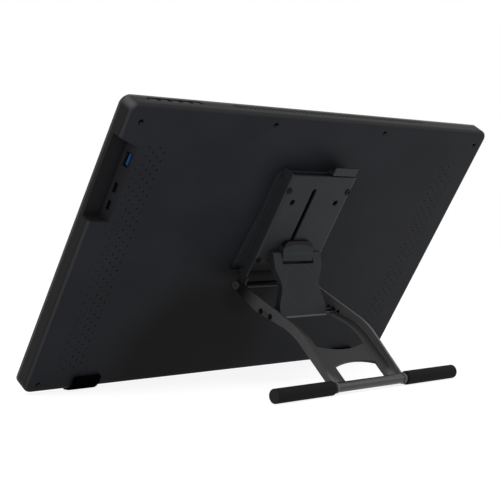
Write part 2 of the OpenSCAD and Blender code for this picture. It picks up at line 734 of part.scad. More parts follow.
// Tray: a sheet channel with its open side on the bracket plate and lugs for the hinge rod
module stand_tray() color(sheet_grey) on_slab() difference() {
    union() {
        run_v(tray_low, tray_top) difference() {
            channel(tray_half, tray_d, fold_r);
            channel(tray_in_half, tray_d - tray_t, fold_r - tray_t);
        }
        for (m = [0, 1]) mirror([m, 0, 0]) run_x(tray_in_half, tray_half) {
            translate([plate_low, plate_t]) square([tray_low - plate_low + cut, tray_d - plate_t - fold_r]);
            translate([hinge_v, hinge_rise - lug_r]) square([plate_low - hinge_v + cut, 2 * lug_r]);
            translate([hinge_v, hinge_rise]) circle(lug_r);
        }
        run_x(lever_left + gap, lever_left + gap + tray_t) {
            translate([lever_v - 3.4, lever_rise]) square([6.8, tray_d - tray_t - lever_rise]);
            translate([lever_v, lever_rise]) circle(3.4);
        }
    }
    translate([slot_x, 0, -tablet_t - tray_d - cut]) linear_extrude(tray_t + 2 * cut) {
        translate([-slot_w / 2, slot_low + slot_w / 2]) square([slot_w, slot_top - slot_low - slot_w]);
        for (v = [slot_low + slot_w / 2, slot_top - slot_w / 2]) translate([0, v]) circle(d = slot_w);
    }
    for (x = [-1, 1]) {
        for (v = fold_screw_v) translate([x * fold_screw_x, v, -tablet_t - tray_d - cut])
            cylinder(h = tray_t + 2 * cut, r = 1.25 + fit, $fn = 32);
        translate([x * 30.2, tray_top - 29.4, -tablet_t - tray_d - cut])
            cylinder(h = tray_t + 2 * cut, d = hole_d, $fn = 32);
    }
    rod_x(hinge_v, hinge_rise, hinge_d / 2 + fit, -tray_w, tray_w);
    rod_x(lever_v, lever_rise, lever_pin_r + fit, -tray_w, 0);
}

// Round-headed screws in the tray's face, close to its folds
module fold_screws() color(black) on_slab() for (x = [-1, 1], v = fold_screw_v)
    translate([x * fold_screw_x, v, -tablet_t - tray_d]) difference() {
        union() {
            translate([0, 0, -1]) cylinder(h = 1, r = 3.2, $fn = 32);
            translate([0, 0, -cut / 2]) cylinder(h = tray_t - fit + cut / 2, r = 1.25, $fn = 32);
        }
        translate([0, 0, -2]) cylinder(h = 1.5, r = 1.4, $fn = 6);
    }

// Pin of the release lever, from the tray's flange to its inner lug
module lever_pin() color(bright_steel) on_slab()
    rod_x(lever_v, lever_rise, lever_pin_r, -tray_half, lever_left + gap + tray_t);

// Torsion spring round the lever's pin
module lever_spring() color(bright_steel) on_slab() difference() {
    rod_x(lever_v, lever_rise, lever_pin_r + 1.2, -tray_in_half, lever_right - gap);
    rod_x(lever_v, lever_rise, lever_pin_r + fit, -tray_w, 0);
}

// Two pegs on the bracket plate that the lock bar slides on
peg_r = 1.5;
peg_v = [slot_low - 1, finger_v];
module bar_guides() color(bright_steel) on_slab() for (v = peg_v)
    translate([slot_x, v, -tablet_t - bar_plate_top]) cylinder(h = bar_plate_top - plate_t, r = peg_r, $fn = 32);

// A key cap that stands in its hole, with a collar under the wall
module key(i) color(black) on_slab()
    translate([key_x0 - i * key_pitch, tablet_h - key_recess + key_proud, -key_n]) rotate([90, 0, 0]) {
        linear_extrude(wall + key_recess + 1.6) stadium(key_len, key_wide);
        translate([0, 0, wall + key_recess + 1.2]) linear_extrude(0.4)
            stadium(key_len + 1.2, key_wide + 1.2);
    }

module key_1() key(0);

module key_2() key(1);

module key_3() key(2);

module key_4() key(3);

module key_5() key(4);

// Base frame axes: origin at the hinge, 2D x towards the foot bar and 2D y away from the ground
module on_frame() on_slab() translate([0, hinge_v, -hinge_c[1]]) rotate([-bar_angle, 0, 0]) children();

// A section in those axes, run along X from x0 to x1
module frame_run(x0, x1) translate([x0, 0, 0]) rotate([90, 0, 90]) linear_extrude(x1 - x0) children();

// The frame's underside: an upper leg that climbs, a round bend and a lower leg down to the bar
function underside(rise = 0) = let (c = [bend_at, bend_rise + 2 - bend_r])
    concat(
        [c + (bend_r + rise) * [-sin(leg_up), cos(leg_up)]
            - (bend_at - web_from - bend_r * sin(leg_up)) / cos(leg_up) * [cos(leg_up), sin(leg_up)]],
        [for (i = [0 : 8]) let (a = 90 + leg_up - i * (leg_up + leg_down) / 8)
            c + (bend_r + rise) * [cos(a), sin(a)]],
        [c + (bend_r + rise) * [sin(leg_down), cos(leg_down)]
            + (bar_reach - bend_at - bend_r * sin(leg_down)) / cos(leg_down) * [cos(leg_down), -sin(leg_down)]]);

function flipped(p) = [for (i = [len(p) - 1 : -1 : 0]) p[i]];

// Side flange outline: round the hinge, up to the knee and down to the bar
module flange_outline() {
    low = underside(-2);
    high = underside(flange_h - 2);
    last = len(low) - 1;
    polygon(concat([[0, -lug_r + 0.6], low[0]], [for (i = [1 : last]) low[i]],
        [low[last] + flange_low_h * [sin(leg_down), cos(leg_down)]],
        flipped([for (i = [4 : last - 1]) high[i]]), [[0, lug_r - 0.6]]));
    circle(lug_r - 0.6);
    translate([bar_reach, 0]) circle(tube_r + 0.6);
}

// Large window in the web that the strut sinks into when the stand folds, with room for its pin
module large_window() {
    translate([0, -window_x]) intersection() {
        translate([window_from, -window_half]) square([window_to - window_from, 2 * window_half]);
        translate([window_to - window_arch, 0]) circle(window_arch, $fn = 160);
    }
    translate([pin_at[0] - 4.5, -frame_in_half]) square([9, frame_in]);
}

// Small window by the bar, with an arched upper edge
module small_window() translate([0, -small_x]) intersection() {
    translate([small_from - 1, -small_half]) square([bar_reach - small_from, 2 * small_half]);
    translate([small_from + small_arch, 0]) circle(small_arch, $fn = 160);
}

module base_frame() color(steel) on_frame() difference() {
    union() {
        for (m = [0, 1]) mirror([m, 0, 0]) frame_run(frame_in_half, frame_half) flange_outline();
        frame_run(-frame_in_half - cut / 2, frame_in_half + cut / 2)
            polygon(concat(underside(-2), flipped(underside(frame_t - 2))));
    }
    translate([0, 0, -40]) linear_extrude(80) rotate(90) {
        large_window();
        small_window();
    }
    frame_bore(0, 0, hinge_d / 2 + fit);
    frame_bore(pin_at[0], pin_at[1], pin_r + fit);
    for (k = [-1, 1]) frame_bore(pin_at[0] + k * spare_step * cos(leg_up),
        pin_at[1] + k * spare_step * sin(leg_up), 2);
    frame_bore(bar_reach, 0, tube_r + 0.02);
}

// A bore through both side flanges, at u along and w above the hinge to bar line
module frame_bore(u, w, r) translate([-frame_half - cut, u, w]) rotate([0, 90, 0])
    cylinder(h = 2 * (frame_half + cut), r = r);

// The strut's lower pin in the frame's axes, and the step to the spare holes beside it
spare_step = 6.6;
pin_at = pin_reach * [cos(bar_angle - 90), sin(bar_angle - 90)];

module cross_tube() color("#6f7274") on_frame()
    translate([-bar_half + grip_end, bar_reach, 0]) rotate([0, 90, 0]) difference() {
        cylinder(h = 2 * (bar_half - grip_end), r = tube_r);
        translate([0, 0, -cut]) cylinder(h = 2 * bar_half + cut, r = tube_r - tube_wall);
    }

// Rubber grip: a sleeve with a closed, softly rounded end
module grip(side) color(rubber) on_frame() mirror([side < 0 ? 1 : 0, 0, 0])
    translate([grip_in, bar_reach, 0]) rotate([0, 90, 0]) rotate_extrude() {
        long = bar_half - grip_in;
        difference() {
            union() {
                translate([0, 1]) square([grip_r, long - 2]);
                square([grip_r - 1, long]);
                for (z = [1, long - 1]) translate([grip_r - 1, z]) circle(1, $fn = 24);
            }
            translate([-cut, -cut]) square([tube_r + 0.02 + cut, long - grip_end + cut]);
        }
    }

module grip_left() grip(1);

module grip_right() grip(-1);

// Hinge rod through the tray's lugs and the frame's flanges
module hinge_rod() color(black) on_slab()
    rod_x(hinge_v, hinge_rise, hinge_d / 2, -frame_half - 0.4, frame_half + 0.4);

// Dished caps on the ends of the hinge rod
module hinge_caps() color(bright_steel) on_slab() for (m = [0, 1]) mirror([m, 0, 0]) difference() {
    rod_x(hinge_v, hinge_rise, hinge_d / 2 + 1.2, frame_half + 0.4, frame_half + 1.8);
    rod_x(hinge_v, hinge_rise, hinge_d / 2 - 0.8, frame_half + 1.3, frame_half + 3);
}

// Friction washers between the tray's lugs and the frame's flanges
module hinge_washers() color("#c8c2ae") on_slab() for (m = [0, 1]) mirror([m, 0, 0]) difference() {
    rod_x(hinge_v, hinge_rise, lug_r - 0.8, tray_half, frame_in_half - 0.1);
    rod_x(hinge_v, hinge_rise, hinge_d / 2 + fit, tray_half - cut, frame_in_half + cut);
}

// Plugs in the spare holes beside the strut's pin
module flange_plugs() color(black) on_frame() for (m = [0, 1], k = [-1, 1]) mirror([m, 0, 0])
    translate([frame_in_half, pin_at[0] + k * spare_step * cos(leg_up), pin_at[1] + k * spare_step * sin(leg_up)])
    rotate([0, 90, 0]) {
        cylinder(h = frame_t, r = 2 - fit, $fn = 32);
        translate([0, 0, frame_t]) cylinder(h = 0.6, r = 2.7, $fn = 32);
    }

// Lower pin of the strut, carried by the frame's flanges
module strut_pin() color(bright_steel) on_frame()
    translate([-frame_half, pin_at[0], pin_at[1]]) rotate([0, 90, 0]) cylinder(h = 2 * frame_half, r = pin_r);

// Spacer tubes that keep the strut in the middle of its pin
module strut_spacers() color(black) on_frame() for (m = [0, 1]) mirror([m, 0, 0])
    translate([strut_low_half + gap, pin_at[0], pin_at[1]]) rotate([0, 90, 0]) difference() {
        cylinder(h = frame_in_half - strut_low_half - gap, r = pin_r + 1);
        translate([0, 0, -cut]) cylinder(h = frame_in_half, r = pin_r + fit);
    }

// Screw heads on the ends of the strut's pin
module strut_screws() color(bright_steel) on_frame() for (m = [0, 1]) mirror([m, 0, 0])
    translate([frame_half, pin_at[0], pin_at[1]]) rotate([0, 90, 0]) difference() {
        cylinder(h = 1, r = pin_r + 0.7);
        translate([0, 0, 0.5]) cylinder(h = cut, r = 1.1, $fn = 6);
    }

// Strut axes: origin at its lower pin, 2D x towards its upper pin, 2D y away from the tablet
module on_strut() on_slab() translate([0, hinge_v, -hinge_c[1] - pin_reach])
    rotate([strut_lean, 0, 0]) children();

// Half width of the strut at distance t from its lower pin
function strut_half(t) = t < waist_at
    ? strut_waist_half + (strut_low_half - strut_waist_half)
        * (1 - cos(180 * min(1, (waist_at - t) / (waist_at - 3)))) / 2
    : strut_waist_half + (strut_top_half - strut_waist_half)
        * (1 - cos(180 * min(1, (t - waist_at) / (strut_len - waist_at - 9)))) / 2;

// Outline of the strut between two distances, drawn as [across, along]
module strut_plan(inset, t0, t1) {
    steps = 22;
    right = [for (i = [0 : steps]) let (t = t0 + (t1 - t0) * i / steps) [strut_half(t) - inset, t]];
    polygon(concat(right, [for (p = flipped(right)) [-p[0], p[1]]]));
}

module strut() color(sheet_grey) on_strut() difference() {
    union() {
        difference() {
            translate([0, 0, -roll_r]) linear_extrude(roll_r + flange_drop)
                strut_plan(0, 0, strut_len);
            translate([0, 0, -roll_r + strut_t]) linear_extrude(roll_r + flange_drop)
                strut_plan(strut_t, -cut, strut_len + cut);
        }
        translate([0, 0, -roll_r]) linear_extrude(strut_t) strut_plan(0, -lip_len, 1);
        strut_roll(0, strut_low_half);
        strut_roll(strut_len, strut_top_half);
    }
    translate([-notch_half, strut_len - notch_deep, -3 * roll_r]) cube([2 * notch_half, 20, 6 * roll_r]);
    for (t = [0, strut_len]) translate([-tray_w, t, 0]) rotate([0, 90, 0])
        cylinder(h = 2 * tray_w, r = pin_r + fit);
}

module strut_roll(t, half) translate([-half, t, 0]) rotate([0, 90, 0]) cylinder(h = 2 * half, r = roll_r);

// Upper pin, through the strut's ears and the slider's knuckle
module knuckle_pin() color(bright_steel) on_strut()
    translate([-strut_top_half, strut_len, 0]) rotate([0, 90, 0]) cylinder(h = 2 * strut_top_half, r = pin_r);

// Slider: knuckle on the pin, a wedge that runs up the tray's face and a stem in the slot
module slider_block() color("#3f4143") on_slab() difference() {
    union() {
        intersection() {
            back_layer(0, tray_d * 2 + slider_up) translate([0, upper_v - knuckle_r])
                plan(2 * (notch_half - 0.6), slider_up + knuckle_r, 9);
            run_x(-notch_half, notch_half) polygon([
                [upper_v, hinge_rise + pin_rise + knuckle_r - 0.01],
                [upper_v + slider_up - 3, tray_d + 5],
                [upper_v + slider_up, tray_d + 3],
                [upper_v + slider_up, tray_d + gap],
                [upper_v, tray_d + gap]]);
        }
        rod_x(upper_v, hinge_rise + pin_rise, knuckle_r, -notch_half + 0.6, notch_half - 0.6);
        run_x(-notch_half + 0.6, notch_half - 0.6) translate([upper_v, hinge_rise + pin_rise])
            polygon([[0, 0], [0, knuckle_r], [-skirt_len, knuckle_r + 1.5], [-skirt_len, knuckle_r - 1.1]]);
        back_layer(guide_top, tray_d + 1 - guide_top) translate([slot_x - stem_w / 2, upper_v - 4])
            square([stem_w, 10]);
    }
    rod_x(upper_v, hinge_rise + pin_rise, pin_r + fit, -tray_w, tray_w);
}

// A row of trapezoid teeth along the tray, grown by g, with their roots at rise d
module teeth(d, v0, count, x0, x1, g) run_x(x0, x1) for (i = [0 : count - 1])
    translate([v0 + i * pitch, d]) polygon([[-1.2 - g, -0.1], [1.2 + g, -0.1],
        [0.5 + g, tooth_h + g / 2], [-0.5 - g, tooth_h + g / 2]]);

// Guide plate behind the slot, grooved underneath for the lock bar's teeth
module slider_guide() color(bright_steel) on_slab() difference() {
    back_layer(guide_top - guide_t, guide_t) translate([slot_x - guide_half, upper_v - 5])
        square(2 * guide_half);
    teeth(bar_plate_top, first_tooth, tooth_rows, slot_x - guide_half - cut, slot_x + guide_half + cut, gap);
}

// Release lever: a plate on its pin, a finger for the lock bar and a thumb tab past the tray's end
module release_lever() color(steel) on_slab() difference() {
    union() {
        rod_x(lever_v, lever_rise, lever_pin_r + 1.6, lever_right, lever_left);
        run_x(lever_right, lever_left) {
            riser = tray_top + 1.5;
            tab = tray_d + 0.4;
            translate([lever_v, lever_rise - lever_t / 2]) square([riser - lever_v + lever_t, lever_t]);
            translate([riser, lever_rise - lever_t / 2]) square([lever_t, tab - lever_rise + lever_t / 2]);
            translate([riser, tab - lever_t]) square([tray_top + lever_out - riser, lever_t]);
        }
        run_x(lever_left - 6, lever_left - 2) {
            translate([finger_v - 3, bar_plate_top + finger_gap])
                square([6, lever_rise - bar_plate_top - finger_gap]);
            translate([finger_v - 1.2, bar_low - finger_gap - 0.8]) square([2.4, lever_rise - bar_low]);
            translate([finger_v - 3, bar_low - finger_gap - 0.8]) square([6, 0.8]);
        }
    }
    rod_x(lever_v, lever_rise, lever_pin_r + fit, -tray_w, tray_w);
}

// Lock bar: teeth along the slider's way and a forked arm round the lever's finger
module lock_bar() color(bright_steel) on_slab() difference() {
    half = 5;
    end = finger_v + 4;
    union() {
        back_layer(bar_low, bar_plate_top - bar_low) {
            translate([slot_x - half, peg_v[0] - 2.4]) square([2 * half, end - peg_v[0] + 2.4]);
            translate([lever_left - 8, end - 8]) square([slot_x - lever_left + 8, 8]);
        }
        teeth(bar_plate_top, first_tooth, tooth_rows, slot_x - half, slot_x + half, 0);
    }
    translate([lever_left - 9, finger_v - 2.2, -tablet_t - tray_d]) cube([7.5, 4.4, tray_d - plate_t]);
    for (v = peg_v) translate([slot_x, v, -tablet_t - tray_d])
        cylinder(h = tray_d, r = peg_r + fit, $fn = 32);
}

cover_glass();
front_frame();
lcd_panel();
backlight();
sensor_board();
shield_plate();
main_board();
board_screws();
key_board();
key_cable();
panel_cable();
usb_a_socket();
usb_c_socket_upper();
usb_c_socket_lower();
usb_a_tongue();
usb_c_tongues();
rear_cover();
housing_screws();
foot_left();
foot_right();
bracket_plate();
stand_tray();
tray_screws();
fold_screws();
lever_pin();
lever_spring();
bar_guides();
key_1();
key_2();
key_3();
key_4();
key_5();
base_frame();
cross_tube();
grip_left();
grip_right();
flange_plugs();
hinge_rod();
hinge_caps();
hinge_washers();
strut_pin();
strut_spacers();
strut_screws();
strut();
knuckle_pin();
slider_block();
slider_guide();
release_lever();
lock_bar();
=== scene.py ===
"""Looks of the pen display on its folding bar stand: camera, light and materials."""

import json
import math

import bpy
from mathutils import Matrix, Vector

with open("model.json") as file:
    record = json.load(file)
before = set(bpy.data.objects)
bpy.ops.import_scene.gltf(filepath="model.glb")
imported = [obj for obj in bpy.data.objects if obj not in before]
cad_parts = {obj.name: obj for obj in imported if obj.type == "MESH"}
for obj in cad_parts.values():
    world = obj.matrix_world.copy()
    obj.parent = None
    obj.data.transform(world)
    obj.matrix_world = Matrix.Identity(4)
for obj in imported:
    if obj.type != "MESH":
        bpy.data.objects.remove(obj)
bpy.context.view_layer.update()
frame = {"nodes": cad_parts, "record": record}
nodes = frame["nodes"]
scene = bpy.context.scene

# Pose of the tablet at rest: its lean, and the stand's hinge in metres
MM = 0.001
TILT = math.radians(56.8349)
HINGE = Vector((0, -0.022051, 0.095369))

# The hinge seen from the tablet, in millimetres: up from the bottom edge and back from the glass
TABLET_T = 17.0
HINGE_V, HINGE_N = 120.4, TABLET_T + 11.7

# Directions at rest: to the sockets' side, up the tablet, out of its back, and straight up
SIDE = Vector((1, 0, 0))
UPWARD = Vector((0, math.cos(TILT), math.sin(TILT)))
BACKWARD = Vector((0, math.sin(TILT), -math.cos(TILT)))
VERTICAL = Vector((0, 0, 1))


def slab(x, v, rise):
    """Point at x across, v up the tablet and rise above its back, in millimetres, as metres."""
    dv, dn = v - HINGE_V, TABLET_T + rise - HINGE_N
    return Vector((x * MM,
                   HINGE.y + (dv * math.cos(TILT) + dn * math.sin(TILT)) * MM,
                   HINGE.z + (dv * math.sin(TILT) - dn * math.cos(TILT)) * MM))


# Camera: behind the tablet on the sockets' side, about level with its middle
SENSOR_W, LENS = 36, 87.94
CLIP_NEAR, CLIP_FAR = 0.01, 100
CAMERA_X, CAMERA_BEHIND, CAMERA_Z = 0.8615, 0.9543, 0.1584
YAW, PITCH = math.radians(43.84), math.radians(1.45)

# The view was fitted with the tablet at another lean, so the camera turns about the hinge with it
FIT_TILT = math.radians(57.3931)
FIT_HINGE = Vector((0, -0.022896, 0.094125))
fit_edge_y = FIT_HINGE.y - (HINGE_V * math.cos(FIT_TILT) + HINGE_N * math.sin(FIT_TILT)) * MM
look = Vector((-math.sin(YAW) * math.cos(PITCH), -math.cos(YAW) * math.cos(PITCH), -math.sin(PITCH)))
fitted = (Matrix.Translation((CAMERA_X, CAMERA_BEHIND + fit_edge_y, CAMERA_Z))
          @ look.to_track_quat("-Z", "Y").to_matrix().to_4x4())

camera_data = bpy.data.cameras.new("camera")
camera_data.sensor_width = SENSOR_W
camera_data.lens = LENS
camera_data.clip_start = CLIP_NEAR
camera_data.clip_end = CLIP_FAR
camera = bpy.data.objects.new("camera", camera_data)
scene.collection.objects.link(camera)
camera.matrix_world = (Matrix.Translation(HINGE) @ Matrix.Rotation(TILT - FIT_TILT, 4, "X")
                       @ Matrix.Translation(-FIT_HINGE) @ fitted)
scene.camera = camera
scene.view_settings.view_transform = "Standard"


# Colours
def linear(level):
    """A colour level of 0 to 255 as linear light."""
    share = level / 255
    return share / 12.92 if share <= 0.04045 else ((share + 0.055) / 1.055) ** 2.4


def srgb(red, green, blue):
    return (linear(red), linear(green), linear(blue))


def grey(level, blue=0):
    """A grey, with its blue raised a little."""
    return srgb(level, level, level + blue)


# Nodes that the materials are made of
RAMP_START, RAMP_END = 0.35, 0.65
PATCH_SCALE, PATCH_DETAIL, GRAIN_DETAIL = 14, 3, 2
SHEEN_CHANGE = 0.12
EDGE_SAMPLES = 6

# Sockets of a colour mix, by number
MIX_FACTOR, MIX_FIRST, MIX_SECOND, MIX_RESULT = 0, 6, 7, 2


def new_material(name):
    mat = bpy.data.materials.new(name)
    mat.use_nodes = True
    tree = mat.node_tree
    return mat, tree, tree.nodes["Principled BSDF"]


def coords(tree, scale=(1, 1, 1)):
    where = tree.nodes.new("ShaderNodeTexCoord")
    mapping = tree.nodes.new("ShaderNodeMapping")
    mapping.inputs["Scale"].default_value = scale
    tree.links.new(where.outputs["Object"], mapping.inputs["Vector"])
    return mapping.outputs["Vector"]


def noise(tree, vector, scale, detail):
    node = tree.nodes.new("ShaderNodeTexNoise")
    node.inputs["Scale"].default_value = scale
    node.inputs["Detail"].default_value = detail
    tree.links.new(vector, node.inputs["Vector"])
    return node.outputs["Fac"]


def ramp(tree, value, low, high):
    """The low colour up to the ramp's start, the high colour from its end."""
    node = tree.nodes.new("ShaderNodeValToRGB")
    start, end = node.color_ramp.elements
    start.position = RAMP_START
    end.position = RAMP_END
    start.color = (*low, 1)
    end.color = (*high, 1)
    tree.links.new(value, node.inputs["Fac"])
    return node.outputs["Color"]


def span(tree, value, low, high):
    """A value of 0 to 1 as low to high."""
    node = tree.nodes.new("ShaderNodeMapRange")
    node.inputs["To Min"].default_value = low
    node.inputs["To Max"].default_value = high
    tree.links.new(value, node.inputs["Value"])
    return node.outputs["Result"]


def eased(tree, value, start, end):
    """0 where the value is at start, 1 at end, eased between them."""
    node = tree.nodes.new("ShaderNodeMapRange")
    node.interpolation_type = "SMOOTHSTEP"
    node.inputs["From Min"].default_value = start
    node.inputs["From Max"].default_value = end
    tree.links.new(value, node.inputs["Value"])
    return node.outputs["Result"]


def joined(tree, operation, values):
    """One value made of several, such as their product or the largest of them."""
    total = values[0]
    for value in values[1:]:
        node = tree.nodes.new("ShaderNodeMath")
        node.operation = operation
        tree.links.new(total, node.inputs[0])
        tree.links.new(value, node.inputs[1])
        total = node.outputs[0]
    return total


def mixed(tree, factor, first, second):
    """The first colour where the factor is 0, the second where it is 1."""
    node = tree.nodes.new("ShaderNodeMix")
    node.data_type = "RGBA"
    tree.links.new(factor, node.inputs[MIX_FACTOR])
    tree.links.new(first, node.inputs[MIX_FIRST])
    node.inputs[MIX_SECOND].default_value = (*second, 1)
    return node.outputs[MIX_RESULT]


def vector_value(tree, operation, source, second):
    node = tree.nodes.new("ShaderNodeVectorMath")
    node.operation = operation
    tree.links.new(source, node.inputs[0])
    node.inputs[1].default_value = second
    return node.outputs["Value"]


def bump(tree, shader, value, distance, round_edge):
    """Fine relief, on normals that turn softly over an edge of that radius."""
    node = tree.nodes.new("ShaderNodeBump")
    if round_edge:
        soft = tree.nodes.new("ShaderNodeBevel")
        soft.samples = EDGE_SAMPLES
        soft.inputs["Radius"].default_value = round_edge
        tree.links.new(soft.outputs["Normal"], node.inputs["Normal"])
    node.inputs["Distance"].default_value = distance
    tree.links.new(value, node.inputs["Height"])
    tree.links.new(node.outputs["Normal"], shader.inputs["Normal"])


def surface(name, colour, rough, metallic=0.0, grain=900, depth=0.00006, spread=0.1,
            level=0.5, stretch=(1, 1, 1), round_edge=0.0):
    """A solid with slight patches of colour, an uneven sheen and a fine grain.

    The grain has its scale, depth in metres and stretch, and level is the strength of the sheen.
    """
    mat, tree, shader = new_material(name)
    low = tuple(c * (1 - spread) for c in colour)
    high = tuple(c * (1 + spread) for c in colour)
    patches = noise(tree, coords(tree), PATCH_SCALE, PATCH_DETAIL)
    tree.links.new(ramp(tree, patches, low, high), shader.inputs["Base Color"])
    fine = noise(tree, coords(tree, stretch), grain, GRAIN_DETAIL)
    sheen = span(tree, fine, rough * (1 - SHEEN_CHANGE), rough * (1 + SHEEN_CHANGE))
    tree.links.new(sheen, shader.inputs["Roughness"])
    bump(tree, shader, fine, depth, round_edge)
    shader.inputs["Metallic"].default_value = metallic
    shader.inputs["Specular IOR Level"].default_value = level
    return mat


# Masks: each is 1 on the stretch of a surface where a colour is laid over the base, mostly painted light
# or shade, and 0 elsewhere
def facing(direction, start, end):
    """Mask by how far the surface faces a direction at rest."""
    return lambda tree, where: eased(
        tree, vector_value(tree, "DOT_PRODUCT", where.outputs["Normal"], direction), start, end)


def partly_facing(direction, low, full, full_end, high):
    """Masks for a rounded edge, which faces a direction by more than low and less than high."""
    return facing(direction, low, full), facing(direction, high, full_end)


def along(origin, direction, start, end):
    """Mask by the way from origin in a direction, in millimetres."""
    base = Vector(origin).dot(direction)
    return lambda tree, where: eased(
        tree, vector_value(tree, "DOT_PRODUCT", where.outputs["Object"], direction),
        base + start * MM, base + end * MM)


def band(low, high, direction, start, end):
    """Masks for what lies between two points in a direction, with edges from start to end."""
    return along(low, direction, start, end), along(high, direction, end, start)


def near(centre, start, end):
    """Mask by the distance from a centre, in millimetres."""
    return lambda tree, where: eased(
        tree, vector_value(tree, "DISTANCE", where.outputs["Object"], centre), start * MM, end * MM)


def tint(mat, colour, *masks):
    """Lay a colour over the base colour where every mask is 1."""
    tree = mat.node_tree
    base = tree.nodes["Principled BSDF"].inputs["Base Color"]
    where = tree.nodes.new("ShaderNodeTexCoord")
    share = joined(tree, "MULTIPLY", [mask(tree, where) for mask in masks])
    tree.links.new(mixed(tree, share, base.links[0].from_socket, colour), base)


# Rear housing: painted shade on the side and top walls, two painted shadows on the back, and painted
# highlights on the rounded edges
LOW_SHADOW, ROD_SHADOW = slab(60, 30, 0), slab(15, 110, 0)
charcoal = surface("charcoal_plastic", srgb(36, 37, 41), 0.45, grain=1600, depth=0.00003,
                   level=0.04, round_edge=0.0022)
# Painted shade: the side wall on the sockets' side made darker
tint(charcoal, grey(30, 1), facing(SIDE, 0.9, 0.98))
# Painted shadow of the stand on the lower back
tint(charcoal, grey(22), near(LOW_SHADOW, 120, 60))
# Painted shadow under the hinge rod, nearly black
tint(charcoal, grey(6), near(ROD_SHADOW, 42, 20))
# Painted highlight along the rounded edge on the sockets' side
tint(charcoal, grey(52, 2), *partly_facing(SIDE, 0.25, 0.6, 0.8, 0.97), facing(BACKWARD, 0.15, 0.4))
# Painted highlight along the rounded top edge
tint(charcoal, grey(42, 2), facing(UPWARD, 0.25, 0.5), facing(BACKWARD, 0.15, 0.4))
# Painted shade: the top wall made a little darker than its lighting gives
tint(charcoal, grey(31, 1), facing(UPWARD, 0.85, 0.97))
# Painted highlight on the rounded corner between the side and top
tint(charcoal, grey(76, 2), facing(SIDE, 0.1, 0.7), facing(UPWARD, 0.1, 0.7))

# Rear housing: painted shade on the floor of the socket bay
BAY_FLOOR_X = 226
tint(charcoal, grey(24, 2), along(slab(BAY_FLOOR_X, 0, -1), SIDE, 0, 2),
     along(slab(0, 0, -1), BACKWARD, 0, -3), facing(BACKWARD, 0.5, 0.9))

# Rear housing: painted shade, nearly black, on the walls of the small holes, in a band on each side
HOLES_INNER_X, HOLES_OUTER_X = 182, 209
HOLES_LOW_V, HOLES_HIGH_V = 22, 275
for side in (-1, 1):
    tint(charcoal, grey(2),
         *band(slab(side * HOLES_INNER_X, 0, 0), slab(side * HOLES_OUTER_X, 0, 0), side * SIDE, 0, 1),
         *band(slab(0, HOLES_LOW_V, 0), slab(0, HOLES_HIGH_V, 0), UPWARD, 0, 1),
         along(slab(0, 0, -0.05), BACKWARD, 0, -0.3), facing(BACKWARD, 0.6, 0.2))

# Front frame, and the cover glass with its active area
SCREEN_W, SCREEN_H, SCREEN_V = 476.6, 268.1, 150
SCREEN_LOW_V, SCREEN_HIGH_V = SCREEN_V - SCREEN_H / 2, SCREEN_V + SCREEN_H / 2
frame_black = surface("front_black", grey(24), 0.42, grain=1500, depth=0.00002, level=0.3)
glass = surface("screen_glass", grey(10), 0.12, grain=300, depth=0.000004, level=0.4)
tint(glass, srgb(22, 24, 29),
     *band(slab(-SCREEN_W / 2, 0, 0), slab(SCREEN_W / 2, 0, 0), SIDE, -0.4, 0.4),
     *band(slab(0, SCREEN_LOW_V, -TABLET_T), slab(0, SCREEN_HIGH_V, -TABLET_T), UPWARD, -0.4, 0.4))

# Inner pieces of the tablet
panel_dark = surface("panel", srgb(24, 26, 30), 0.2, grain=600, depth=0.00001)
diffuser = surface("diffuser", srgb(214, 218, 222), 0.5, grain=700, depth=0.00002)
board_green = surface("board_green", srgb(28, 74, 44), 0.45, grain=500, depth=0.00003, spread=0.2)
shield_sheet = surface("shield_sheet", srgb(176, 180, 184), 0.35, metallic=1.0, depth=0.00001,
                       stretch=(0.05, 1, 1))
plated = surface("plated_steel", grey(118), 0.3, metallic=1.0, grain=1200, depth=0.00001)
flat_cable = surface("flat_cable", srgb(206, 198, 172), 0.5, grain=400, stretch=(4, 1, 1))

# Screws and caps
dark_screw = surface("dark_screws", grey(9), 0.5, metallic=0.2, grain=1500, depth=0.00001, level=0.1)
tray_screw = surface("tray_screw_steel", grey(18), 0.4, grain=1200, depth=0.00001, level=0.3)
# Painted highlight on the face of each tray screw head, with painted shade on the rest
tint(tray_screw, grey(96), facing(BACKWARD, 0.93, 0.98))
bright_steel = surface("bright_steel", grey(92), 0.3, metallic=0.6, grain=1200, depth=0.00001)

# Rubber: painted light on the grips' near end and painted shade on their underside, the feet are plain
rubber = surface("rubber", grey(22), 0.75, grain=1300, depth=0.00008, level=0.08)
tint(rubber, grey(38), facing(SIDE, 0.85, 0.97))
tint(rubber, grey(10), facing(-VERTICAL, 0.2, 0.7))
foot_rubber = surface("foot_rubber", grey(8), 0.6, grain=1300, depth=0.00005, level=0.0,
                      round_edge=0.001)

# Painted sheet and smooth plastic, with small rounded edges
SHEET_EDGE = 0.0006


def coated(name, colour, rough, grain, level):
    return surface(name, colour, rough, grain=grain, depth=0.00003, level=level,
                   round_edge=SHEET_EDGE)


# Tray and what is painted like it: painted highlights along the edges on both sides
painted = coated("painted_sheet", srgb(40, 42, 44), 0.45, grain=1800, level=0.1)
tint(painted, grey(60), *partly_facing(SIDE, 0.4, 0.6, 0.7, 0.85), facing(BACKWARD, 0.2, 0.4))
tint(painted, grey(90), facing(-SIDE, 0.1, 0.4), facing(BACKWARD, 0.2, 0.4))

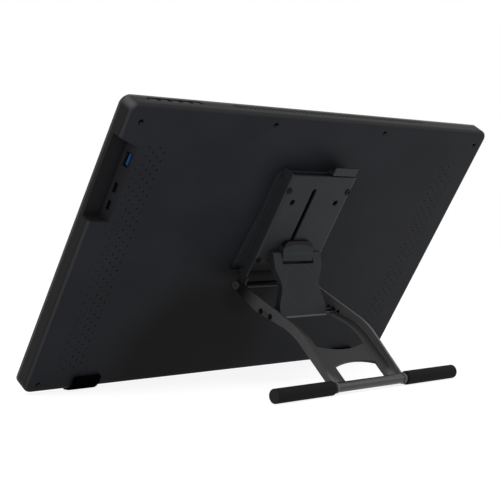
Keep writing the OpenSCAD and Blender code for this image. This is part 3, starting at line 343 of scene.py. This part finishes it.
# Bracket plate: a painted highlight on its near edge, and painted shade from just above the hinge down
PLATE_SHADE_V = 133
bracket_sheet = coated("bracket_sheet", srgb(40, 42, 44), 0.45, grain=1800, level=0.1)
tint(bracket_sheet, grey(70), *partly_facing(SIDE, 0.25, 0.6, 0.8, 0.97), facing(BACKWARD, 0.2, 0.4))
tint(bracket_sheet, grey(12), along(slab(0, PLATE_SHADE_V, 0), UPWARD, 10, 0))

# Strut: a faint ring on its face, and a painted highlight on the rolled end at the bottom
STRUT_RING = (0, 0.0165, 0.095)
ROLLED_END = (0, 0, 0.0655)
strut_sheet = coated("strut_sheet", srgb(38, 40, 42), 0.45, grain=1800, level=0.1)
tint(strut_sheet, grey(47), near(STRUT_RING, 20.4, 21.0), near(STRUT_RING, 21.8, 21.2))
tint(strut_sheet, grey(92), along(ROLLED_END, VERTICAL, 0.4, -0.2))

# Base frame: painted light on the side walls and far channel, painted shade at the hinge, and painted
# highlights at the tube's ends
TUBE = Vector((0, 0.1053, 0.00665))
TUBE_END = Vector((0.047, 0, 0))
ROD_END = Vector((0.05, 0, 0))
FAR_CHANNEL = (-0.0455, 0, 0)
OUT_OF_FRAME = (0, 0.5, 0.866)
frame_paint = coated("frame_sheet", grey(41), 0.4, grain=1700, level=0.12)
tint(frame_paint, grey(76), facing(SIDE, 0.5, 0.9))
tint(frame_paint, grey(96), along(FAR_CHANNEL, SIDE, 0, -1), facing(OUT_OF_FRAME, 0.3, 0.7))
tint(frame_paint, grey(22), near(HINGE + ROD_END, 38, 8))
for side in (1, -1):
    tint(frame_paint, grey(86), near(TUBE + side * TUBE_END, 20, 9))

# Slider block: darker beyond a curve across its face
SLIDER_CURVE = slab(0, 93, 12)
slider_plastic = coated("slider_plastic", srgb(36, 40, 41), 0.42, grain=1600, level=0.12)
tint(slider_plastic, grey(10), near(SLIDER_CURVE, 80.5, 81.5))

# Release lever: painted shade on its upper edge
lever_paint = coated("lever_paint", srgb(38, 40, 42), 0.4, grain=1700, level=0.12)
tint(lever_paint, grey(24), facing(UPWARD, 0.4, 0.8))

# Cross tube, washers and small plastic pieces
tube_satin = surface("satin_tube", grey(66), 0.34, metallic=1.0, depth=0.00001, stretch=(0.04, 1, 1))
washer = surface("washer_plastic", grey(52), 0.5)
black_plastic = surface("black_plastic", srgb(14, 14, 15), 0.38, grain=1500, depth=0.00002, level=0.12)
blue_plastic = surface("blue_plastic", srgb(34, 88, 150), 0.4, grain=1200, depth=0.00001)

# Which piece takes which material: by its slot, unless it has one of its own
by_slot = {"charcoal_plastic": charcoal, "front_black": frame_black, "screen_glass": glass,
           "panel": panel_dark, "diffuser": diffuser, "board_green": board_green,
           "shield_sheet": shield_sheet, "plated_steel": plated, "flat_cable": flat_cable,
           "dark_screws": dark_screw, "rubber": rubber, "painted_sheet": painted,
           "frame_sheet": frame_paint, "satin_tube": tube_satin, "washer_plastic": washer,
           "black_plastic": black_plastic, "blue_plastic": blue_plastic,
           "slider_plastic": slider_plastic, "lever_paint": lever_paint}
by_node = {"foot_left": foot_rubber, "foot_right": foot_rubber, "bracket_plate": bracket_sheet,
           "strut": strut_sheet, "tray_screws": tray_screw, "hinge_caps": bright_steel,
           "strut_screws": bright_steel}
for part in frame["record"]["subparts"]:
    name = part["node"]
    for slot in nodes[name].material_slots:
        slot.material = by_node.get(name, by_slot[part["material_slot"]])


# World and floor: plain white where they are seen, dimmer where they only give light
def seen_ray(tree):
    """1 for rays from the camera or by way of a gloss or glass, else 0."""
    path = tree.nodes.new("ShaderNodeLightPath")
    kinds = ("Is Camera Ray", "Is Glossy Ray", "Is Transmission Ray")
    return joined(tree, "MAXIMUM", [path.outputs[kind] for kind in kinds])


WHITE = (1, 1, 1, 1)
WORLD_LIGHT, WORLD_SEEN = 0.5, 1.0
world = bpy.data.worlds.new("studio")
scene.world = world
world.use_nodes = True
world_tree = world.node_tree
background = world_tree.nodes["Background"]
background.inputs["Color"].default_value = WHITE
strength = span(world_tree, seen_ray(world_tree), WORLD_LIGHT, WORLD_SEEN)
world_tree.links.new(strength, background.inputs["Strength"])

FLOOR_HALF, FLOOR_DROP = 6.0, 0.0003
FLOOR_LOW, FLOOR_HIGH, FLOOR_SEEN = (0.8, 0.8, 0.8), (0.84, 0.84, 0.84), (0.34, 0.34, 0.34)
FLOOR_PATCH_SCALE, FLOOR_PATCH_DETAIL = 3, 2
FLOOR_ROUGH, FLOOR_GLOW = 0.7, 0.84
corners = [(-FLOOR_HALF, -FLOOR_HALF, 0), (FLOOR_HALF, -FLOOR_HALF, 0),
           (FLOOR_HALF, FLOOR_HALF, 0), (-FLOOR_HALF, FLOOR_HALF, 0)]
floor_mesh = bpy.data.meshes.new("floor")
floor_mesh.from_pydata(corners, [], [(0, 1, 2, 3)])
floor = bpy.data.objects.new("floor", floor_mesh)
floor.location.z = -FLOOR_DROP
scene.collection.objects.link(floor)
floor_mat, floor_tree, floor_shader = new_material("floor_pale")
seen = seen_ray(floor_tree)
floor_patches = noise(floor_tree, coords(floor_tree), FLOOR_PATCH_SCALE, FLOOR_PATCH_DETAIL)
floor_colour = ramp(floor_tree, floor_patches, FLOOR_LOW, FLOOR_HIGH)
floor_tree.links.new(mixed(floor_tree, seen, floor_colour, FLOOR_SEEN), floor_shader.inputs["Base Color"])
floor_tree.links.new(span(floor_tree, seen, 0, FLOOR_GLOW), floor_shader.inputs["Emission Strength"])
floor_shader.inputs["Emission Color"].default_value = WHITE
floor_shader.inputs["Roughness"].default_value = FLOOR_ROUGH
floor_shader.inputs["Specular IOR Level"].default_value = 0.0
floor_mesh.materials.append(floor_mat)


# Lamps: soft boxes above, at the sockets' side, far on the other side, and near the camera
def lamp(name, place, target, size, power):
    data = bpy.data.lights.new(name, "AREA")
    data.shape = "RECTANGLE"
    data.size, data.size_y = size
    data.energy = power
    obj = bpy.data.objects.new(name, data)
    obj.location = place
    obj.rotation_mode = "QUATERNION"
    obj.rotation_quaternion = (Vector(target) - Vector(place)).to_track_quat("-Z", "Y")
    scene.collection.objects.link(obj)


lamp("top_box", place=(0.1, 0.3, 1.9), target=(0, 0, 0.1), size=(1.8, 1.4), power=14)
lamp("side_box", place=(1.7, -0.1, 0.7), target=(0, 0, 0.12), size=(1.0, 1.2), power=5)
lamp("far_box", place=(-1.4, 1.3, 1.0), target=(0, 0, 0.1), size=(1.0, 1.2), power=4)
lamp("near_box", place=(0.9, 1.6, 1.1), target=(0, 0, 0.12), size=(1.0, 1.0), power=6)
